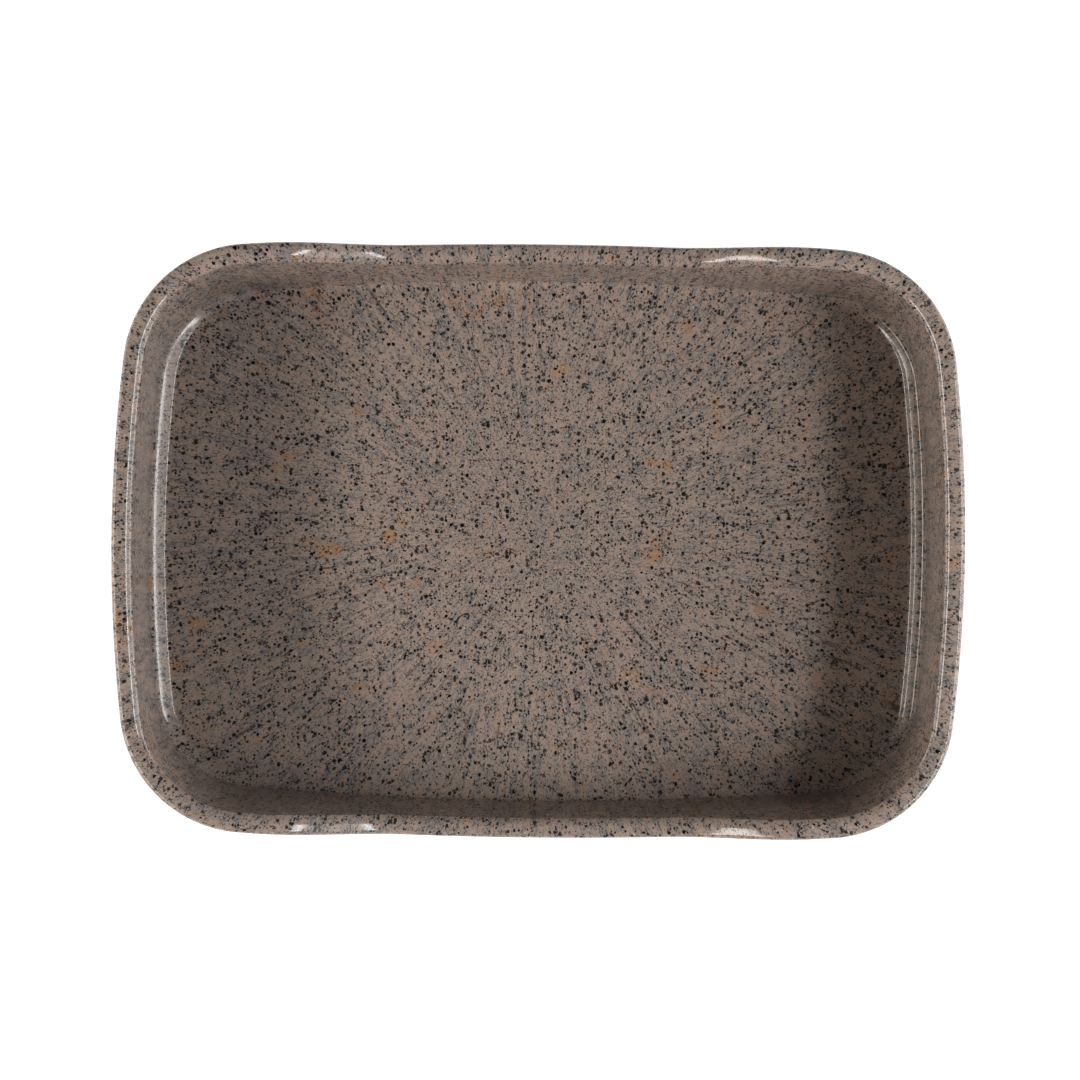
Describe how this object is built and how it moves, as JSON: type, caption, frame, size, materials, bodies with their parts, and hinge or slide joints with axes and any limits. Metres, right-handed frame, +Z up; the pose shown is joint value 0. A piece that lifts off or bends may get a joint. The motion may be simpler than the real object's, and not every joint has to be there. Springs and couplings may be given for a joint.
{
  "type": "stacking tray",
  "caption": "Rectangular plastic desk tray with bowed sides, round corners and a rounded flanged rim that dips along the long sides; its stepped foot nests in the rim of another.",
  "frame": {"origin": "on the desk, under the middle of the tray, at the underside of the pads", "axes": "+X along the tray's length, +Y across it, +Z up out of the tray"},
  "size_m": [0.3726, 0.2648, 0.065],
  "materials": {
    "speckled_plastic": "glossy taupe plastic with black and grey-blue specks and a few rust patches that flow out from the middle of the floor",
    "pad_rubber": "matte black rubber"
  },
  "bodies": {
    "root": {"tray_body": "speckled_plastic", "foot_pad_front_left": "pad_rubber", "foot_pad_front_right": "pad_rubber", "foot_pad_back_left": "pad_rubber", "foot_pad_back_right": "pad_rubber"}
  },
  "joints": []
}
